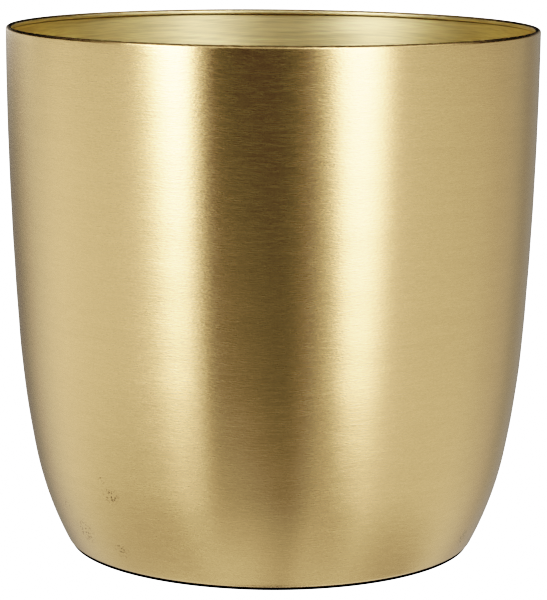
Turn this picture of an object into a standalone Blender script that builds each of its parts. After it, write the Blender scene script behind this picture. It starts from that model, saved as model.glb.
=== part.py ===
"""Brass planter pot: a one-piece sheet-metal vessel with a wired rim, standing on four thin pads.

Units are metres and +Z is up. The origin is the centre of the plane that the pot stands on.
"""

from math import cos, pi, radians, sin, tau

import bpy

# Driving dimensions.
RIM_RADIUS = 0.130  # to the outside of the rolled rim
HEIGHT = 0.256  # from the floor to the top of the rolled rim
SHEET = 0.0006  # thickness of the sheet metal
BEAD_RADIUS = 0.00135  # outside of the roll, which turns inwards
ROLL_END = radians(370)  # where the rolled edge stops, clear of the wall
WIRE_RADIUS = 0.0006

# The outside of the wall turns from flat to almost upright in four arcs that meet smoothly.
# Each arc ends at a steepness above the horizontal. The height sets the last arc's radius.
CORNER_RADIUS = 0.0035
CORNER_END = radians(63)
SWEEP_RADIUS = 0.170
SWEEP_END = radians(79)
FLANK_RADIUS = 0.485
FLANK_END = radians(86)
WALL_END = radians(89.9)

PAD_COUNT = 4
PAD_RADIUS = 0.008
PAD_THICKNESS = 0.0008
PAD_EDGE = 0.0002
PAD_CIRCLE = 0.078  # from the pot's axis to each pad's centre
GLUE_GAP = 0.0002  # the layer of glue between a pad and the base

# Facets.
AROUND = 64
AROUND_WIRE = 8
AROUND_PAD = 24
CORNER_STEPS = 4
SWEEP_STEPS = 4
FLANK_STEPS = 3
WALL_STEPS = 4
ROLL_STEPS = 10

# Colours are linear RGB.
BRASS_COLOUR = (0.80, 0.62, 0.31)
STEEL_COLOUR = (0.42, 0.41, 0.40)
RUBBER_COLOUR = (0.015, 0.015, 0.016)

BASE_HEIGHT = PAD_THICKNESS + GLUE_GAP
BEAD_HEIGHT = HEIGHT - BEAD_RADIUS
BEAD_CIRCLE = RIM_RADIUS - BEAD_RADIUS


def clear_scene():
    for obj in list(bpy.data.objects):
        bpy.data.objects.remove(obj, do_unlink=True)


def make_collection(name):
    collection = bpy.data.collections.new(name)
    bpy.context.scene.collection.children.link(collection)
    return collection


def make_material(name, colour, roughness, metallic):
    material = bpy.data.materials.new(name)
    material.use_nodes = True
    shader = material.node_tree.nodes["Principled BSDF"]
    shader.inputs["Base Color"].default_value = (*colour, 1.0)
    shader.inputs["Roughness"].default_value = roughness
    shader.inputs["Metallic"].default_value = metallic
    material.diffuse_color = (*colour, 1.0)
    return material


def turned(stations, radius, end, steps):
    """The stations of an arc that carries on from the last one, turning until its steepness is end.

    A station is a distance from the axis, a height and a steepness.
    """
    start_out, start_up, start = stations[-1]
    arc = []
    for step in range(1, steps + 1):
        angle = start + (end - start) * step / steps
        out = start_out + radius * (sin(angle) - sin(start))
        up = start_up + radius * (cos(start) - cos(angle))
        arc.append((out, up, angle))
    return arc


def wall_stations():
    """The outside of the pot from the edge of its flat base up to the start of the rolled rim."""
    arcs = [
        (CORNER_RADIUS, CORNER_END, CORNER_STEPS),
        (SWEEP_RADIUS, SWEEP_END, SWEEP_STEPS),
        (FLANK_RADIUS, FLANK_END, FLANK_STEPS),
    ]
    stations = [(0.0, BASE_HEIGHT, 0.0)]
    for radius, end, steps in arcs:
        stations += turned(stations, radius, end, steps)
    climb_left = BEAD_HEIGHT - stations[-1][1]
    wall_radius = climb_left / (cos(FLANK_END) - cos(WALL_END))
    stations += turned(stations, wall_radius, WALL_END, WALL_STEPS)
    base_radius = RIM_RADIUS - stations[-1][0]
    return [(base_radius + out, up, angle) for out, up, angle in stations]


def inner_side(stations):
    """The same run, one sheet thickness towards the inside of the pot."""
    return [(out - SHEET * sin(angle), up + SHEET * cos(angle)) for out, up, angle in stations]


def shell_outline():
    """The cut through the sheet: up its inner side, round the roll's edge, and down its outer side.

    The base is flat. The rim is rolled inwards and down, round the wire, in one arc from the wall.
    """
    stations = [(0.0, BASE_HEIGHT, 0.0)] + wall_stations()
    stations += turned(stations, BEAD_RADIUS, ROLL_END, ROLL_STEPS)
    outer = [(out, up) for out, up, angle in stations]
    return inner_side(stations) + outer[::-1]


def make_turned_object(name, outline, collection, material):
    """A Screw round the Z axis of an outline that starts and ends on it."""
    points = [(out, 0.0, up) for out, up in outline]
    edges = [(index, index + 1) for index in range(len(points) - 1)]
    mesh = bpy.data.meshes.new(name)
    mesh.from_pydata(points, edges, [])
    mesh.materials.append(material)
    obj = bpy.data.objects.new(name, mesh)
    collection.objects.link(obj)
    screw = obj.modifiers.new("Turn", "SCREW")
    screw.axis = "Z"
    screw.steps = AROUND
    screw.render_steps = AROUND
    screw.use_merge_vertices = True
    screw.merge_threshold = 0.00001
    return obj


def adopt(obj, name, collection, material):
    """Takes the object that an operator has just added into the pot's collection."""
    for holder in list(obj.users_collection):
        holder.objects.unlink(obj)
    collection.objects.link(obj)
    obj.name = name
    obj.data.name = name
    obj.data.materials.append(material)
    obj.data.shade_smooth()


def make_rim_wire(collection, material):
    """The wire ring inside the roll. Its segments line up with the shell's, so the gap is even."""
    bpy.ops.mesh.primitive_torus_add(
        major_segments=AROUND,
        minor_segments=AROUND_WIRE,
        major_radius=BEAD_CIRCLE,
        minor_radius=WIRE_RADIUS,
        location=(0, 0, BEAD_HEIGHT),
    )
    wire = bpy.context.object
    adopt(wire, "rim_wire", collection, material)
    return wire


def make_foot_pad(number, collection, material):
    angle = pi / PAD_COUNT + tau * (number - 1) / PAD_COUNT
    bpy.ops.mesh.primitive_cylinder_add(
        vertices=AROUND_PAD,
        radius=PAD_RADIUS,
        depth=PAD_THICKNESS,
        location=(PAD_CIRCLE * cos(angle), PAD_CIRCLE * sin(angle), PAD_THICKNESS / 2),
    )
    pad = bpy.context.object
    adopt(pad, f"foot_pad_{number}", collection, material)
    pad.data.set_sharp_from_angle(angle=radians(40))
    bevel = pad.modifiers.new("Soft edge", "BEVEL")
    bevel.width = PAD_EDGE
    bevel.segments = 2
    return pad


def build():
    clear_scene()
    collection = make_collection("brass_planter_pot")
    brass = make_material("brushed_brass", BRASS_COLOUR, 0.35, 1.0)
    steel = make_material("wire_steel", STEEL_COLOUR, 0.45, 1.0)
    rubber = make_material("pad_rubber", RUBBER_COLOUR, 0.85, 0.0)
    shell = make_turned_object("pot_shell", shell_outline(), collection, brass)
    wire = make_rim_wire(collection, steel)
    pads = [make_foot_pad(number, collection, rubber) for number in range(1, PAD_COUNT + 1)]
    for piece in [wire, *pads]:
        piece.parent = shell


build()
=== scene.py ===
"""Looks of the brass planter pot: a finely turned shell, brushed and lacquered brass, and studio light.

Units are metres and +Z is up. The pot stands on the plane z = 0 with its axis on the Z axis. Azimuths
are degrees round that axis: 0 is straight in front, where the camera is, and 90 is the pot's right.
"""

from collections import namedtuple
from math import cos, dist, pi, radians, sin, tau

import bpy
from mathutils import Matrix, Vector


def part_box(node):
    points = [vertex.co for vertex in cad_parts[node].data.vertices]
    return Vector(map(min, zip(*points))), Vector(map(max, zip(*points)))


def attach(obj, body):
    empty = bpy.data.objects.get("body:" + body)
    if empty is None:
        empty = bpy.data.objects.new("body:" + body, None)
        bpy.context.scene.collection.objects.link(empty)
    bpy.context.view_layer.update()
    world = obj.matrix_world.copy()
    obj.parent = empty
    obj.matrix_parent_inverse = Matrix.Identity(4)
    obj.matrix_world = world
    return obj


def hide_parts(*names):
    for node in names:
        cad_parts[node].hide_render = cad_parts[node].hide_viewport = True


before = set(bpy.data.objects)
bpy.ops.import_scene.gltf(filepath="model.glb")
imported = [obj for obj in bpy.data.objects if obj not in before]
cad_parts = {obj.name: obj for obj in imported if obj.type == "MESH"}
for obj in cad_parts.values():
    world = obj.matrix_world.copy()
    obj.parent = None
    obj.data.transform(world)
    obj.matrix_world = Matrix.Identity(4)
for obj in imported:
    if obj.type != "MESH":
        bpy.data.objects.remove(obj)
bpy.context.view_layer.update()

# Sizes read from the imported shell.
SHELL_LOW, SHELL_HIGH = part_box("pot_shell")
RIM_RADIUS = SHELL_HIGH.x
HEIGHT = SHELL_HIGH.z
BASE_HEIGHT = SHELL_LOW.z

# The shell's design, as packed: sheet thickness, rolled rim, and the arcs of the outside of the wall.
SHEET = 0.0006
BEAD_RADIUS = 0.00135
CORNER_RADIUS = 0.0035
CORNER_END = radians(63)
SWEEP_RADIUS = 0.170
SWEEP_END = radians(79)
FLANK_RADIUS = 0.485
FLANK_END = radians(86)
WALL_END = radians(89.9)
BEAD_HEIGHT = HEIGHT - BEAD_RADIUS

# The rolled rim is pressed a little square on its inner side: arcs with short flats between them.
TOP_END = radians(180)
SHOULDER_RADIUS = 0.00135
SHOULDER_END = radians(270)
LIP_RADIUS = 0.00090
LIP_END = radians(360)
TOP_FLAT = 0.00005
FACE_FLAT = 0.00045
LIP_FLAT = 0.00035
OUTSIDE_END = radians(246)  # where the roll's outside finish gives way to the inside finish
CREVICE_START = radians(318)  # where the painted shade under the roll starts: dark brown metal as the roll's shade

# The sheet strays this far from a true turned surface, in rings up the wall and in lobes round it.
RING_WAVE = 0.00003
RING_PITCH = 0.027
LOBE_WAVE = 0.00010
LOBES = (3, 5)
LOBE_TWIST = 14.0  # radians per metre of height

# Facets of the fine shell.
AROUND = 288
BASE_RINGS = 6
CORNER_STEPS = 8
SWEEP_STEPS = 16
FLANK_STEPS = 20
WALL_STEPS = 36
ROLL_STEPS = 14

# Material numbers of the shell.
OUTSIDE = 0
INSIDE = 1
ROLL = 2
CREVICE = 3

# Colours are linear RGB.
BRASS = (0.806, 0.597, 0.321)
# Painted light: the inside's brass is a paler copy of BRASS, standing in for light the inside gets.
INNER_BRASS_PAINTED_PALER = (0.92, 0.80, 0.50)
# Painted shade: this dark brown on the roll's underside and inside stands in for the shade there.
PAINTED_SHADE_BROWN = (0.45, 0.33, 0.15)
STEEL = (0.42, 0.41, 0.40)
RUBBER = (0.015, 0.015, 0.016)
WHITE = (1.0, 1.0, 1.0, 1.0)
BLACK = (0.0, 0.0, 0.0, 1.0)

# Noise keeps mostly between these values.
NOISE_LOW = 0.3
NOISE_HIGH = 0.7

# Brushing marks: their length round the pot, their width up it, and how far they sway up and down.
Marks = namedtuple("Marks", "length width rise", defaults=[0.0])
SWAYS = 7  # waves of the sway, round the pot
GRAIN = Marks(0.0013, 0.00048)
RISING_STROKES = Marks(0.007, 0.0004, 0.0022)
FALLING_STROKES = Marks(0.006, 0.0005, -0.0022)
OUTSIDE_BANDS = Marks(0.05, 0.0030)
INSIDE_STROKES = Marks(0.012, 0.0005, 0.0012)
INSIDE_BANDS = Marks(0.07, 0.0016, -0.0012)
PAINTED_SHADE_MOTTLE = Marks(0.003, 0.0008)
WIRE_STREAKS = Marks(0.02, 0.0004)

# Depths of the finishes.
GRAIN_DEPTH = 0.000028
STROKE_SHARE = 0.85  # of a stroke in the outside's relief, next to the grain
INSIDE_DEPTH = 0.00002
PORE_SIZE = 0.0004
PORE_DEPTH = 0.0001

# The inside is painted darker above this height, up to the roll: painted shade in the crevice under the
# roll.
CREVICE_HEIGHT = HEIGHT - 0.0029
CREVICE_FADE = 0.0005
CREVICE_SHADE_LEVEL = 0.35  # the share of the brightness that the painted shade leaves there

# Small patches of dark specks low on the wall.
Scuff = namedtuple("Scuff", "x y z radius")
SCUFFS = [
    Scuff(-0.074, -0.088, 0.042, 0.0065),  # on the left, towards the front
    Scuff(-0.079, -0.086, 0.049, 0.0040),  # just above that
    Scuff(-0.097, -0.055, 0.029, 0.0045),  # near the left edge
    Scuff(-0.088, -0.063, 0.018, 0.0090),  # below that
    Scuff(-0.070, -0.080, 0.013, 0.0060),  # near the base, on the left
    Scuff(0.093, -0.050, 0.013, 0.0055),  # near the base, on the right
]
SCUFF_CORE = 0.2  # the share of a patch's radius where the specks are at full strength
SPECK_SIZE = 0.0010
SPECK_START = 0.57  # the noise where a speck starts
SPECK_FULL = 0.64
SPECK_DARKENING = -0.65

# Camera: a long lens, a little above the rim and looking slightly down. Angles are in degrees.
CAMERA_DISTANCE = 1.2676  # from the pot's axis
CAMERA_HEIGHT = 0.3429
CAMERA_LENS = 155.41  # mm
CAMERA_SENSOR = 36.0  # mm
CAMERA_DOWN = 9.968
CAMERA_RIGHT = 0.049
CAMERA_ROLL = 0.44
CAMERA_WHITE = 2.7  # how bright the studio and the floor look to the camera

# The floor, and the painted shadow under the pot, a black disc on the floor: its radius for the camera and
# in the brass.
FLOOR_SIZE = 12.0
PAINTED_SHADOW_SEEN = 0.0998
PAINTED_SHADOW_MIRRORED = 0.0990
PAINTED_SHADOW_FADE = 0.0004

# A lamp fills the directions between two azimuths and two elevations, in degrees. Each edge fades this
# far to both sides: start, end, lower, upper. The start moves left by lean degrees for each degree up.
Lamp = namedtuple("Lamp", "across up soft strength lean", defaults=[0.0])
LAMPS = {
    "left softbox": Lamp(across=(-50, -35), up=(-7, 26), soft=(5, 1, 12, 8), strength=6.0, lean=0.59),
    "right softbox": Lamp(across=(26, 46), up=(-15, 34), soft=(3, 9, 16, 8), strength=3.69, lean=0.35),
    "right spill": Lamp(across=(35, 67), up=(-50, 34), soft=(4, 45, 38, 8), strength=0.46, lean=0.31),
    "beside right softbox": Lamp(across=(21, 26), up=(-69, 30), soft=(1, 10, 10, 8), strength=0.13),
    "left wall": Lamp(across=(-121, -30), up=(-29, 4), soft=(28, 1, 23, 8), strength=0.82, lean=-0.63),
    "right wall": Lamp(across=(36, 123), up=(-41, 4), soft=(60, 21, 9, 8), strength=0.63, lean=0.64),
    "wall in front": Lamp(across=(-80, 95), up=(18, 46), soft=(15, 15, 9, 8), strength=0.95),
    "front table, left": Lamp(across=(-50, -1), up=(-80, -9), soft=(1, 19, 6, 1), strength=0.21),
    "front table, right": Lamp(across=(7, 60), up=(-80, -9), soft=(2, 17, 6, 4), strength=0.09, lean=0.19),
    "table": Lamp(across=(-200, 200), up=(-80, -45), soft=(1, 1, 6, 40), strength=0.68),
    "left of backdrop": Lamp(across=(-175, -91), up=(-80, 10), soft=(8, 60, 6, 10), strength=0.24),
    "left backdrop edge": Lamp(across=(-168, -121), up=(-4, 4), soft=(6, 9, 1, 5), strength=0.6),
    "right of backdrop": Lamp(across=(121, 170), up=(-80, 10), soft=(15, 8, 6, 10), strength=0.33),
    "ceiling": Lamp(across=(-200, 200), up=(32, 120), soft=(1, 1, 14, 8), strength=0.2),
}
STUDIO_LEVEL = 0.003  # between the lamps
TOP_LIGHT_SPREAD = radians(150.0)
TOP_LIGHT_STRENGTH = 18.0

# The tone curve: brightnesses in the scene, and what each shows as. The white level shows as white.
WHITE_LEVEL = 3.0
DARK_TONE = (0.05, 0.010)
TOE_TONE = (0.13, 0.076)
SHADE_TONE = (0.3, 0.281)
MIDDLE_TONE = (0.5, 0.49)
LIGHT_TONE = (0.85, 0.73)
SHOULDER_TONE = (1.2, 0.866)
HIGHLIGHT_TONE = (1.8, 0.958)
TONES = [DARK_TONE, TOE_TONE, SHADE_TONE, MIDDLE_TONE, LIGHT_TONE, SHOULDER_TONE, HIGHLIGHT_TONE]


def fill_inputs(tree, node, values):
    """Links sockets to a node's inputs, or sets the inputs to numbers, colours or vectors."""
    for name, value in values.items():
        if isinstance(value, bpy.types.NodeSocket):
            tree.links.new(value, node.inputs[name])
        else:
            node.inputs[name].default_value = value


def add_node(tree, kind, values=None, **settings):
    """A shader node, with its settings and what goes into its inputs."""
    node = tree.nodes.new(kind)
    for name, setting in settings.items():
        setattr(node, name, setting)
    fill_inputs(tree, node, values or {})
    return node


def math_node(tree, operation, *values):
    return add_node(tree, "ShaderNodeMath", dict(enumerate(values)), operation=operation).outputs[0]


def soft_step(tree, value, start, end):
    """0 on start's side and 1 on end's side, whichever is higher, with a smooth change between them."""
    rises = start < end
    limits = {"Value": value, "From Min": min(start, end), "From Max": max(start, end)}
    limits["To Min"] = 0.0 if rises else 1.0
    limits["To Max"] = 1.0 if rises else 0.0
    node = add_node(tree, "ShaderNodeMapRange", limits, interpolation_type="SMOOTHSTEP")
    return node.outputs["Result"]


# ---------------------------------------------------------------- shape


def turned(stations, radius, end, steps):
    """The stations of an arc that carries on from the last one, turning until its steepness is end.

    A station is a distance from the axis, a height and a steepness.
    """
    start_out, start_up, start = stations[-1]
    arc = []
    for step in range(1, steps + 1):
        angle = start + (end - start) * step / steps
        out = start_out + radius * (sin(angle) - sin(start))
        up = start_up + radius * (cos(start) - cos(angle))
        arc.append((out, up, angle))
    return arc


def wall_stations():
    """The outside of the pot from the edge of its flat base up to the start of the rolled rim."""
    arcs = [
        (CORNER_RADIUS, CORNER_END, CORNER_STEPS),
        (SWEEP_RADIUS, SWEEP_END, SWEEP_STEPS),
        (FLANK_RADIUS, FLANK_END, FLANK_STEPS),
    ]
    stations = [(0.0, BASE_HEIGHT, 0.0)]
    for radius, end, steps in arcs:
        stations += turned(stations, radius, end, steps)
    climb_left = BEAD_HEIGHT - stations[-1][1]
    wall_radius = climb_left / (cos(FLANK_END) - cos(WALL_END))
    stations += turned(stations, wall_radius, WALL_END, WALL_STEPS)
    base_radius = RIM_RADIUS - stations[-1][0]
    return [(base_radius + out, up, angle) for out, up, angle in stations]


def straight(stations, length):
    """One more station, straight on from the last one."""
    out, up, angle = stations[-1]
    return [(out + length * cos(angle), up + length * sin(angle), angle)]


def rolled(stations):
    """The outside of the rolled rim, from the top of the wall inwards and down to the sheet's edge."""
    roll = turned(stations, BEAD_RADIUS, TOP_END, ROLL_STEPS)
    roll += straight(roll, TOP_FLAT)
    roll += turned(roll, SHOULDER_RADIUS, SHOULDER_END, ROLL_STEPS)
    roll += straight(roll, FACE_FLAT)
    roll += turned(roll, LIP_RADIUS, LIP_END, ROLL_STEPS)
    return roll + straight(roll, LIP_FLAT)


def roll_material(angle):
    """The material of the roll's outside, by how far the sheet has turned."""
    if angle > CREVICE_START:
        return CREVICE
    if angle > OUTSIDE_END:
        return ROLL
    return OUTSIDE


def offset_inwards(stations, material):
    """The same run on the other face of the sheet."""
    return [(out - SHEET * sin(angle), up + SHEET * cos(angle), material) for out, up, angle in stations]


def shell_outline():
    """The cut through the sheet: up its inner side, round the roll's edge, and down its outer side.

    With each point comes the number of the material of the faces that start there.
    """
    wall = wall_stations()
    base_radius = wall[0][0]
    base = [(base_radius * ring / BASE_RINGS, BASE_HEIGHT, 0.0) for ring in range(BASE_RINGS)]
    stations = base + wall
    roll = rolled(stations)
    inner = offset_inwards(stations, INSIDE) + offset_inwards(roll, CREVICE)
    outer = [(out, up, OUTSIDE) for out, up, angle in stations]
    outer += [(out, up, roll_material(angle)) for out, up, angle in roll]
    return inner + outer[::-1]


def stray(up, angle):
    """How far the sheet is pushed outwards here. It is true at the base and at the rim."""
    share = (up - BASE_HEIGHT) / (BEAD_HEIGHT - BEAD_RADIUS - BASE_HEIGHT)
    share = min(max(share, 0.0), 1.0)
    ring = RING_WAVE * sin(tau * up / RING_PITCH + angle)
    lobes = [sin(count * angle + LOBE_TWIST * up) for count in LOBES]
    return sin(pi * share) * (ring + LOBE_WAVE * sum(lobes) / len(lobes))


def way_along(outline):
    """How far along the outline each of its points is, from 0 to 1."""
    points = [(out, up) for out, up, material in outline]
    way = [0.0]
    for point, next_point in zip(points, points[1:]):
        way.append(way[-1] + dist(point, next_point))
    return [length / way[-1] for length in way]


def turned_points(outline):
    """The points of an outline turned round the Z axis, ring by ring. Both its ends are on the axis."""
    points = [(0.0, 0.0, outline[0][1])]
    for out, up, material in outline[1:-1]:
        for column in range(AROUND):
            angle = tau * column / AROUND
            radius = out + stray(up, angle)
            points.append((radius * cos(angle), radius * sin(angle), up))
    points.append((0.0, 0.0, outline[-1][1]))
    return points


Face = namedtuple("Face", "corners material places")


def column_faces(outline, way, column):
    """One column of faces, from the inside of the base, over the rim, to the underside.

    A face's places are its corners on the map that textures are baked on: round the pot, and along
    the outline.
    """
    beside = (column + 1) % AROUND
    left = column / AROUND
    right = (column + 1) / AROUND
    middle = (left + right) / 2
    rings = outline[1:-1]
    edge = 1 + (len(rings) - 1) * AROUND
    last = edge + AROUND
    start_places = [(middle, way[0]), (right, way[1]), (left, way[1])]
    end_places = [(left, way[-2]), (right, way[-2]), (middle, way[-1])]
    faces = [Face((0, 1 + beside, 1 + column), outline[0][2], start_places)]
    for ring in range(len(rings) - 1):
        here = 1 + ring * AROUND
        above = here + AROUND
        corners = (here + column, here + beside, above + beside, above + column)
        low = way[1 + ring]
        high = way[2 + ring]
        places = [(left, low), (right, low), (right, high), (left, high)]
        faces.append(Face(corners, rings[ring][2], places))
    faces.append(Face((edge + column, edge + beside, last), rings[-1][2], end_places))
    return faces


def turned_mesh(name, outline, materials):
    """A closed, smooth mesh of an outline turned round the Z axis, with its baking map."""
    way = way_along(outline)
    faces = [face for column in range(AROUND) for face in column_faces(outline, way, column)]
    mesh = bpy.data.meshes.new(name)
    mesh.from_pydata(turned_points(outline), [], [face.corners for face in faces])
    for material in materials:
        mesh.materials.append(material)
    mesh.polygons.foreach_set("material_index", [face.material for face in faces])
    mesh.polygons.foreach_set("use_smooth", [True] * len(faces))
    baking_map = mesh.uv_layers.new(name="OFBake")
    places = [place for face in faces for place in face.places]
    baking_map.data.foreach_set("uv", [value for place in places for value in place])
    return mesh


def make_shell():
    materials = [brushed_outside(), brushed_inside(), brushed_roll(), painted_shade_metal()]
    mesh = turned_mesh("pot", shell_outline(), materials)
    shell = bpy.data.objects.new("pot", mesh)
    bpy.context.scene.collection.objects.link(shell)
    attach(shell, "root")
    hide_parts("pot_shell")


# ---------------------------------------------------------------- finish


def new_material(name):
    material = bpy.data.materials.new(name)
    material.use_nodes = True
    return material, material.node_tree, material.node_tree.nodes["Principled BSDF"]


def object_place(tree):
    return add_node(tree, "ShaderNodeTexCoord").outputs["Object"]


def swaying_place(tree, rise):
    """The place on the pot, with the height swaying up and down round the pot by this rise."""
    parts = add_node(tree, "ShaderNodeSeparateXYZ", {"Vector": object_place(tree)}).outputs
    round_pot = math_node(tree, "ARCTAN2", parts["Y"], parts["X"])
    sway = math_node(tree, "SINE", math_node(tree, "MULTIPLY", round_pot, float(SWAYS)))
    height = math_node(tree, "MULTIPLY_ADD", sway, rise, parts["Z"])
    swayed = add_node(tree, "ShaderNodeCombineXYZ", {"X": parts["X"], "Y": parts["Y"], "Z": height})
    return swayed.outputs["Vector"]


def streaks(tree, marks, detail=2.0):
    """Noise drawn out round the pot, around 0.5."""
    scale = (1 / marks.length, 1 / marks.length, 1 / marks.width)
    stretch = {"Vector": swaying_place(tree, marks.rise), "Scale": scale}
    stretched = add_node(tree, "ShaderNodeMapping", stretch).outputs["Vector"]
    noise = add_node(tree, "ShaderNodeTexNoise", {"Vector": stretched, "Scale": 1.0, "Detail": detail})
    return noise.outputs[0]


def spread(tree, value, low, high):
    """Noise carried to the range from low to high."""
    limits = {"Value": value, "From Min": NOISE_LOW, "From Max": NOISE_HIGH, "To Min": low, "To Max": high}
    return add_node(tree, "ShaderNodeMapRange", limits).outputs["Result"]


def varied(tree, noise, share):
    """A brightness around 1 that the noise raises and lowers by this share."""
    return spread(tree, noise, 1.0 - share, 1.0 + share)


def tinted(tree, colour, *shares):
    """A colour times some brightnesses."""
    level = shares[0]
    for share in shares[1:]:
        level = math_node(tree, "MULTIPLY", level, share)
    scaled = add_node(tree, "ShaderNodeVectorMath", {0: colour, "Scale": level}, operation="SCALE")
    return scaled.outputs["Vector"]


def bumped(tree, relief, strength, depth):
    """The direction that a surface faces with this relief on it."""
    bump = add_node(tree, "ShaderNodeBump", {"Height": relief, "Strength": strength, "Distance": depth})
    return bump.outputs["Normal"]


def brush_round(tree, shader, anisotropy):
    """Stretches the highlights as brushing round the pot's axis does."""
    tangent = add_node(tree, "ShaderNodeTangent", direction_type="RADIAL", axis="Z").outputs["Tangent"]
    stretch = {"Anisotropic": anisotropy, "Anisotropic Rotation": 0.25, "Tangent": tangent}
    fill_inputs(tree, shader, stretch)


def scuffs(tree):
    """Patches of dark specks near the base: 1 on a speck and 0 elsewhere."""
    place = object_place(tree)
    noise = add_node(tree, "ShaderNodeTexNoise", {"Vector": place, "Scale": 1 / SPECK_SIZE, "Detail": 1.0})
    specks = soft_step(tree, noise.outputs[0], SPECK_START, SPECK_FULL)
    patches = 0.0
    for scuff in SCUFFS:
        middle = (scuff.x, scuff.y, scuff.z)
        away = add_node(tree, "ShaderNodeVectorMath", {0: place, 1: middle}, operation="DISTANCE")
        patch = soft_step(tree, away.outputs["Value"], scuff.radius, SCUFF_CORE * scuff.radius)
        patches = math_node(tree, "MAXIMUM", patches, patch)
    return math_node(tree, "MULTIPLY", patches, specks)


def brushed_outside():
    """Lacquered brass with fine sanding: short grain, and longer strokes that lean both ways."""
    material, tree, shader = new_material("brushed_brass_outside")
    grain = streaks(tree, GRAIN, 1.0)
    rising = streaks(tree, RISING_STROKES, 1.0)
    falling = streaks(tree, FALLING_STROKES, 1.0)
    bands = streaks(tree, OUTSIDE_BANDS)
    marks = [varied(tree, grain, 0.04), varied(tree, rising, 0.025)]
    marks += [varied(tree, falling, 0.025), varied(tree, bands, 0.015)]
    marks.append(math_node(tree, "MULTIPLY_ADD", scuffs(tree), SPECK_DARKENING, 1.0))
    strokes = math_node(tree, "ADD", rising, falling)
    relief = math_node(tree, "MULTIPLY_ADD", strokes, STROKE_SHARE, grain)
    fill_inputs(tree, shader, {
        "Base Color": tinted(tree, BRASS, *marks),
        "Metallic": 1.0,
        "Roughness": spread(tree, rising, 0.245, 0.281),
        "Coat Weight": 0.25,
        "Coat Roughness": 0.15,
        "Normal": bumped(tree, relief, 1.0, GRAIN_DEPTH),
    })
    brush_round(tree, shader, anisotropy=0.74)
    return material


def satin_finish(tree, shader, unshaded_share):
    """The softer brushing of the inside, in brass painted paler as light, with painted shade where the
    given brightness share is below 1.
    """
    fine = streaks(tree, INSIDE_STROKES)
    bands = streaks(tree, INSIDE_BANDS)
    fill_inputs(tree, shader, {
        "Base Color": tinted(tree, INNER_BRASS_PAINTED_PALER, varied(tree, fine, 0.08), varied(tree, bands, 0.11), unshaded_share),
        "Metallic": 1.0,
        "Roughness": 0.5,
        "Coat Weight": 0.5,
        "Coat Roughness": 0.2,
        "Normal": bumped(tree, fine, 0.3, INSIDE_DEPTH),
    })
    brush_round(tree, shader, anisotropy=0.6)


def brushed_inside():
    """The inside of the wall, with painted shade in the crevice under the roll."""
    material, tree, shader = new_material("brushed_brass_inside")
    height = add_node(tree, "ShaderNodeSeparateXYZ", {"Vector": object_place(tree)}).outputs["Z"]
    # Painted shade: the wall's colour darkens towards the roll, standing in for the shade of the crevice.
    below = soft_step(tree, height, CREVICE_HEIGHT, CREVICE_HEIGHT - CREVICE_FADE)
    painted_shade_range = {"Value": below, "To Min": CREVICE_SHADE_LEVEL, "To Max": 1.0}
    unshaded_share = add_node(tree, "ShaderNodeMapRange", painted_shade_range).outputs["Result"]
    satin_finish(tree, shader, unshaded_share)
    return material


def brushed_roll():
    """The side of the roll that faces the pot's axis."""
    material, tree, shader = new_material("brushed_brass_roll")
    satin_finish(tree, shader, 1.0)
    return material


def painted_shade_metal():
    """Metal painted dark brown as shade, inside the roll and at the sheet's edge."""
    material, tree, shader = new_material("painted_shade_brass")
    spots = varied(tree, streaks(tree, PAINTED_SHADE_MOTTLE), 0.3)
    fill_inputs(tree, shader, {
        "Base Color": tinted(tree, PAINTED_SHADE_BROWN, spots),
        "Metallic": 0.6,
        "Roughness": 0.5,
    })
    return material


def foam_rubber():
    material, tree, shader = new_material("foam_rubber")
    foam = {"Vector": object_place(tree), "Scale": 1 / PORE_SIZE}
    pores = add_node(tree, "ShaderNodeTexNoise", foam).outputs[0]
    fill_inputs(tree, shader, {
        "Base Color": tinted(tree, RUBBER, varied(tree, pores, 0.3)),
        "Roughness": 0.9,
        "Normal": bumped(tree, pores, 0.5, PORE_DEPTH),
    })
    return material


def drawn_wire():
    material, tree, shader = new_material("drawn_wire")
    drawn = varied(tree, streaks(tree, WIRE_STREAKS), 0.15)
    fill_inputs(tree, shader, {
        "Base Color": tinted(tree, STEEL, drawn),
        "Metallic": 1.0,
        "Roughness": 0.45,
    })
    return material


def finish_node(name, material):
    """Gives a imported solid, which stays in view, its finished material."""
    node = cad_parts[name]
    node.data.materials.clear()
    node.data.materials.append(material)


# ---------------------------------------------------------------- studio


def lamp_glow(tree, azimuth, elevation, lamp):
    """How bright a lamp is in a direction, with soft edges."""
    start, end = lamp.across
    low, high = lamp.up
    start_edge, end_edge, low_edge, high_edge = lamp.soft
    leaned = math_node(tree, "MULTIPLY_ADD", elevation, lamp.lean, azimuth)
    past_start = soft_step(tree, leaned, start - start_edge, start + start_edge)
    before_end = soft_step(tree, azimuth, end + end_edge, end - end_edge)
    above = soft_step(tree, elevation, low - low_edge, low + low_edge)
    below = soft_step(tree, elevation, high + high_edge, high - high_edge)
    across = math_node(tree, "MULTIPLY", past_start, before_end)
    upright = math_node(tree, "MULTIPLY", above, below)
    return math_node(tree, "MULTIPLY", math_node(tree, "MULTIPLY", across, upright), lamp.strength)


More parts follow.
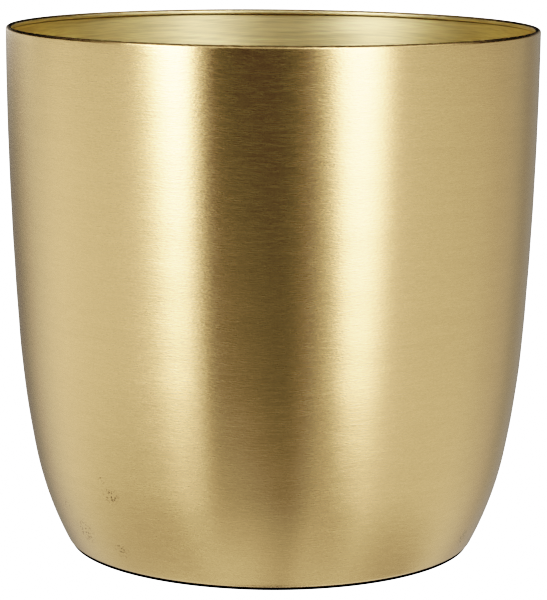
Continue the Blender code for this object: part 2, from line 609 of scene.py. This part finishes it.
def make_studio():
    """Light by direction, as the brass mirrors it. The camera sees plain white instead."""
    world = bpy.data.worlds.new("studio")
    world.use_nodes = True
    bpy.context.scene.world = world
    tree = world.node_tree
    direction = add_node(tree, "ShaderNodeTexCoord").outputs["Generated"]
    parts = add_node(tree, "ShaderNodeSeparateXYZ", {"Vector": direction}).outputs
    front = math_node(tree, "MULTIPLY", parts["Y"], -1.0)
    azimuth = math_node(tree, "DEGREES", math_node(tree, "ARCTAN2", parts["X"], front))
    elevation = math_node(tree, "DEGREES", math_node(tree, "ARCSINE", parts["Z"]))
    glow = STUDIO_LEVEL
    for lamp in LAMPS.values():
        glow = math_node(tree, "ADD", lamp_glow(tree, azimuth, elevation, lamp), glow)
    seen = add_node(tree, "ShaderNodeLightPath").outputs["Is Camera Ray"]
    shown = add_node(tree, "ShaderNodeMix", {"Factor": seen, "A": glow, "B": CAMERA_WHITE})
    background = {"Color": WHITE, "Strength": shown.outputs["Result"]}
    fill_inputs(tree, tree.nodes["Background"], background)


def floor_white():
    """Plain white for the camera, and clear in the brass, which mirrors the studio's table instead.

    Both see a painted shadow under the pot: a black disc in the gap.
    """
    material, tree, shader = new_material("floor_white")
    radius = add_node(tree, "ShaderNodeVectorMath", {0: object_place(tree)}, operation="LENGTH")
    seen = add_node(tree, "ShaderNodeLightPath").outputs["Is Camera Ray"]
    edge = add_node(tree, "ShaderNodeMix", {"Factor": seen, "A": PAINTED_SHADOW_MIRRORED, "B": PAINTED_SHADOW_SEEN})
    past_edge = math_node(tree, "SUBTRACT", radius.outputs["Value"], edge.outputs["Result"])
    # Painted shadow: inside the disc the floor is black, both for the camera and in the brass.
    outside_painted_shadow = soft_step(tree, past_edge, -PAINTED_SHADOW_FADE, 0.0)
    fill_inputs(tree, shader, {
        "Base Color": BLACK,
        "Emission Color": WHITE,
        "Emission Strength": math_node(tree, "MULTIPLY", outside_painted_shadow, CAMERA_WHITE),
        "Roughness": 1.0,
        "Specular IOR Level": 0.0,
    })
    clear = add_node(tree, "ShaderNodeBsdfTransparent").outputs["BSDF"]
    unseen = math_node(tree, "MULTIPLY", math_node(tree, "SUBTRACT", 1.0, seen), outside_painted_shadow)
    mixed = add_node(tree, "ShaderNodeMixShader", {0: unseen, 1: shader.outputs["BSDF"], 2: clear})
    fill_inputs(tree, tree.nodes["Material Output"], {"Surface": mixed.outputs["Shader"]})
    return material


def make_floor():
    bpy.ops.mesh.primitive_plane_add(size=FLOOR_SIZE)
    floor = bpy.context.object
    floor.name = "floor"
    floor.data.materials.append(floor_white())


def make_top_light():
    """An even light from above for the dull parts. The brass doesn't mirror it."""
    light = bpy.data.lights.new("top_light", "SUN")
    light.angle = TOP_LIGHT_SPREAD
    light.energy = TOP_LIGHT_STRENGTH
    lamp = bpy.data.objects.new("top_light", light)
    lamp.visible_glossy = False
    bpy.context.scene.collection.objects.link(lamp)


def make_camera():
    """A long lens in front of the pot. It is turned, then tilted, then rolled."""
    data = bpy.data.cameras.new("camera")
    data.lens = CAMERA_LENS
    data.sensor_width = CAMERA_SENSOR
    data.clip_start = 0.05
    data.clip_end = 50.0
    camera = bpy.data.objects.new("camera", data)
    turn = Matrix.Rotation(radians(-CAMERA_RIGHT), 4, "Z")
    tilt = Matrix.Rotation(radians(90.0 - CAMERA_DOWN), 4, "X")
    roll = Matrix.Rotation(radians(CAMERA_ROLL), 4, "Z")
    place = Matrix.Translation((0.0, -CAMERA_DISTANCE, CAMERA_HEIGHT))
    camera.matrix_world = place @ turn @ tilt @ roll
    bpy.context.scene.collection.objects.link(camera)
    bpy.context.scene.camera = camera


def set_tone():
    """How brightness is shown: dark parts a little darker, and a long soft shoulder up to white."""
    view = bpy.context.scene.view_settings
    view.view_transform = "Standard"
    view.look = "None"
    view.use_curve_mapping = True
    mapping = view.curve_mapping
    combined = mapping.curves[3]
    mapping.white_level = (WHITE_LEVEL, WHITE_LEVEL, WHITE_LEVEL)
    for brightness, shown in TONES:
        combined.points.new(brightness / WHITE_LEVEL, shown)
    mapping.update()


make_shell()
finish_node("rim_wire", drawn_wire())
rubber = foam_rubber()
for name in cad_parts:
    if name.startswith("foot_pad"):
        finish_node(name, rubber)
make_studio()
make_floor()
make_top_light()
make_camera()
set_tone()
